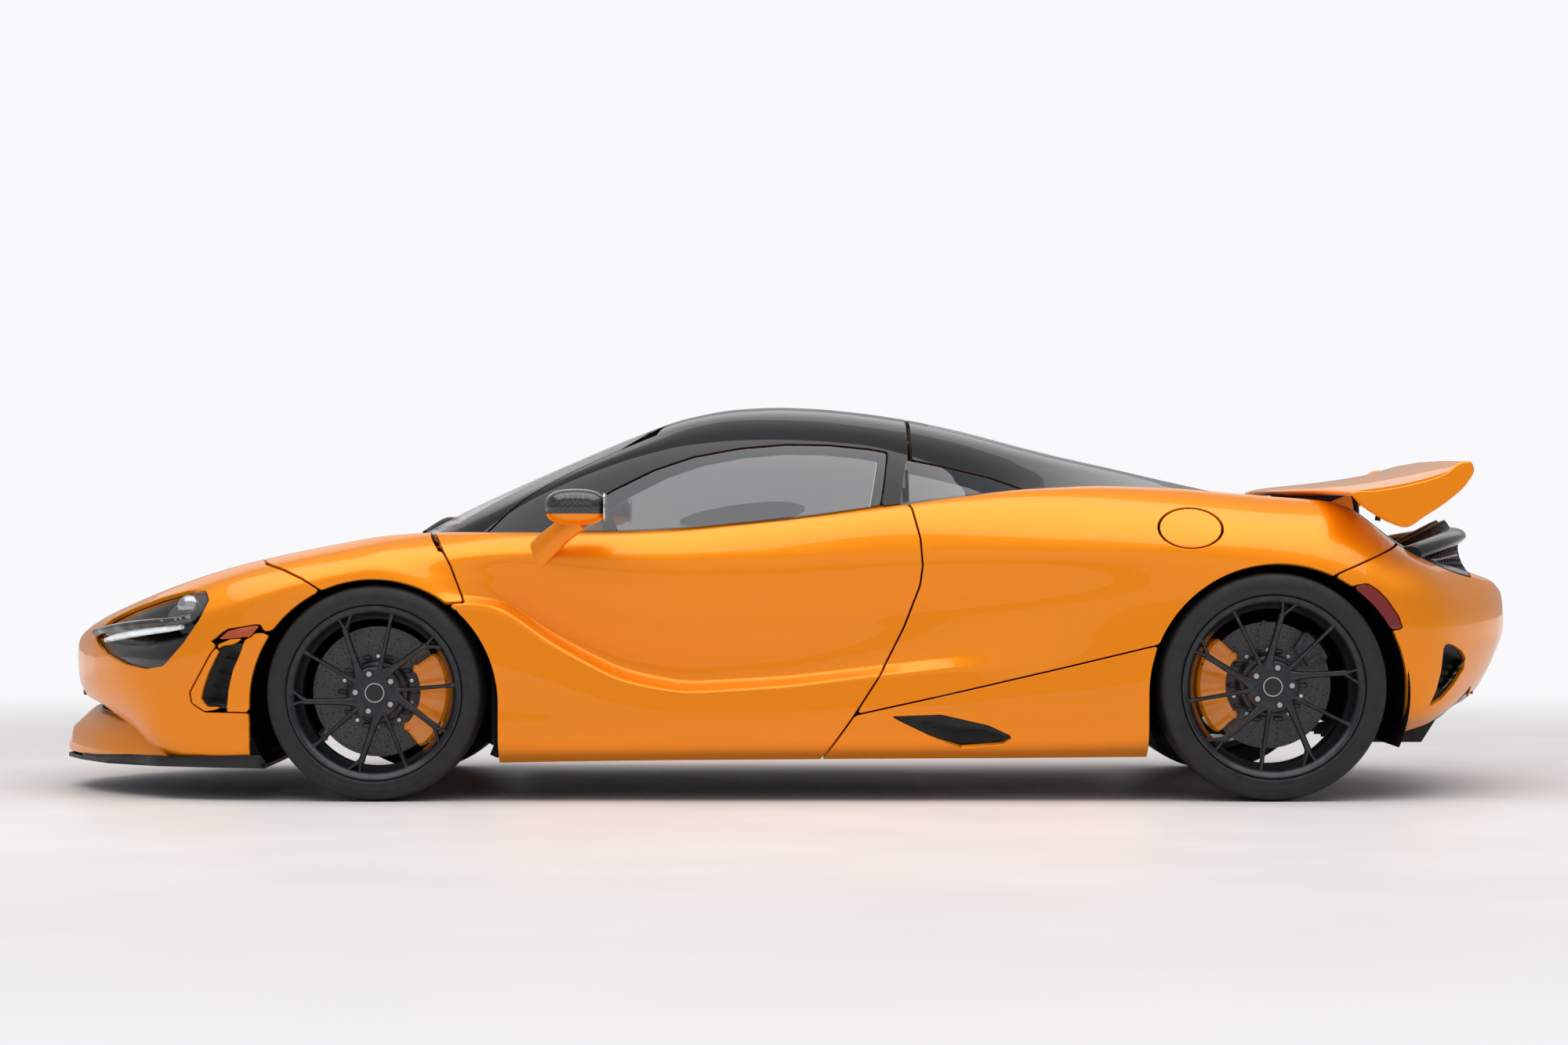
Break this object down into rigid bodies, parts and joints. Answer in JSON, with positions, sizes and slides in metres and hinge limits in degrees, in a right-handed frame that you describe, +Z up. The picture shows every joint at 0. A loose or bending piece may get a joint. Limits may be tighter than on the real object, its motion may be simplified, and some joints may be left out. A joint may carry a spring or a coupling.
{
  "type": "mid-engined two-seat supercar",
  "caption": "Low mid-engined coupe with dihedral doors, an active rear wing, a front luggage lid, steered front wheels and rolling alloy wheels.",
  "frame": {"origin": "on the ground, under the middle of the car's box", "axes": "-X towards the nose, +Y the car's right side, +Z up"},
  "size_m": [4.5605, 2.144, 1.194],
  "materials": {
    "body_paint": "gloss clear coat",
    "canopy_black": "gloss",
    "satin_black": "satin",
    "glass": "polished, grey tint",
    "carbon": "clear-coated twill",
    "lamp": "gloss",
    "tail_lamp": "gloss",
    "tyre": "moulded",
    "rim": "satin lacquer",
    "caliper": "gloss",
    "cast_alloy": "as cast",
    "steel": "satin",
    "tub": "satin",
    "exhaust": "satin",
    "leather": "grained"
  },
  "bodies": {
    "root": {"tub": "tub", "engine_block": "steel", "wishbones": "cast_alloy", "drive_shafts": "steel", "knuckles_rear": "cast_alloy", "calipers_rear": "caliper", "fenders": "body_paint", "quarters": "body_paint", "front_bumper": "body_paint", "splitter": "satin_black", "luggage_bin": "satin_black", "rear_bumper": "body_paint", "rear_deck": "body_paint", "diffuser": "satin_black", "rear_grille": "satin_black", "tail_lamps": "tail_lamp", "exhaust": "exhaust", "roof_frame": "canopy_black", "windscreen": "glass", "rear_canopy": "canopy_black", "rear_glass": "glass", "quarter_windows": "glass", "headlamps": "lamp", "seats": "leather", "dashboard": "leather", "wing_brackets": "satin_black"},
    "door_left": {"door_left": "body_paint", "door_frame_left": "canopy_black", "side_window_left": "glass", "mirror_left": "carbon"},
    "door_right": {"door_right": "body_paint", "door_frame_right": "canopy_black", "side_window_right": "glass", "mirror_right": "carbon"},
    "steer_left": {"knuckle_front_left": "cast_alloy", "caliper_front_left": "caliper"},
    "steer_right": {"knuckle_front_right": "cast_alloy", "caliper_front_right": "caliper"},
    "wheel_front_left": {"tyre_front_left": "tyre", "rim_front_left": "rim"},
    "wheel_front_right": {"tyre_front_right": "tyre", "rim_front_right": "rim"},
    "wheel_rear_left": {"tyre_rear_left": "tyre", "rim_rear_left": "rim"},
    "wheel_rear_right": {"tyre_rear_right": "tyre", "rim_rear_right": "rim"},
    "wing": {"rear_wing": "body_paint", "wing_arms": "satin_black"},
    "front_lid": {"luggage_lid": "body_paint"},
    "fuel_flap": {"fuel_flap": "body_paint"},
    "hand_wheel": {"steering_wheel": "leather"}
  },
  "joints": [
    {"name": "door_left_hinge", "type": "hinge", "parent": "root", "child": "door_left", "pos_m": [-1.03, -0.775, 0.772], "axis": [-0.8347, -0.3577, -0.4187], "range_deg": [0, 80]},
    {"name": "door_right_hinge", "type": "hinge", "parent": "root", "child": "door_right", "pos_m": [-1.03, 0.775, 0.772], "axis": [0.8347, -0.3577, 0.4187], "range_deg": [0, 80]},
    {"name": "front_lid_hinge", "type": "hinge", "parent": "root", "child": "front_lid", "pos_m": [-1.205, 0, 0.712], "axis": [0, 1, 0], "range_deg": [0, 62]},
    {"name": "wing_pitch", "type": "hinge", "parent": "root", "child": "wing", "pos_m": [1.56, 0, 0.862], "axis": [0, -1, 0], "range_deg": [-12, 20]},
    {"name": "fuel_flap_hinge", "type": "hinge", "parent": "root", "child": "fuel_flap", "pos_m": [1.114, -0.83439, 0.80886], "axis": [0, -0.5239, -0.8518], "range_deg": [0, 80]},
    {"name": "steer_left_pivot", "type": "hinge", "parent": "root", "child": "steer_left", "pos_m": [-1.2235, -0.76, 0.322], "axis": [0, 0, 1], "range_deg": [-30, 30]},
    {"name": "steer_right_pivot", "type": "hinge", "parent": "root", "child": "steer_right", "pos_m": [-1.2235, 0.76, 0.322], "axis": [0, 0, 1], "range_deg": [-30, 30]},
    {"name": "hand_wheel_turn", "type": "hinge", "parent": "root", "child": "hand_wheel", "pos_m": [-0.52, -0.36, 0.742], "axis": [0.927, 0, 0.375], "range_deg": [-390, 390]},
    {"name": "wheel_front_left_roll", "type": "hinge", "parent": "steer_left", "child": "wheel_front_left", "pos_m": [-1.2235, -0.84, 0.322], "axis": [0, 1, 0], "continuous": true},
    {"name": "wheel_front_right_roll", "type": "hinge", "parent": "steer_right", "child": "wheel_front_right", "pos_m": [-1.2235, 0.84, 0.322], "axis": [0, 1, 0], "continuous": true},
    {"name": "wheel_rear_left_roll", "type": "hinge", "parent": "root", "child": "wheel_rear_left", "pos_m": [1.4465, -0.812, 0.34], "axis": [0, 1, 0], "continuous": true},
    {"name": "wheel_rear_right_roll", "type": "hinge", "parent": "root", "child": "wheel_rear_right", "pos_m": [1.4465, 0.812, 0.34], "axis": [0, 1, 0], "continuous": true}
  ],
  "couplings": [
    {"joint": "steer_right_pivot", "follows": "steer_left_pivot", "ratio": 1},
    {"joint": "hand_wheel_turn", "follows": "steer_left_pivot", "ratio": 13}
  ]
}
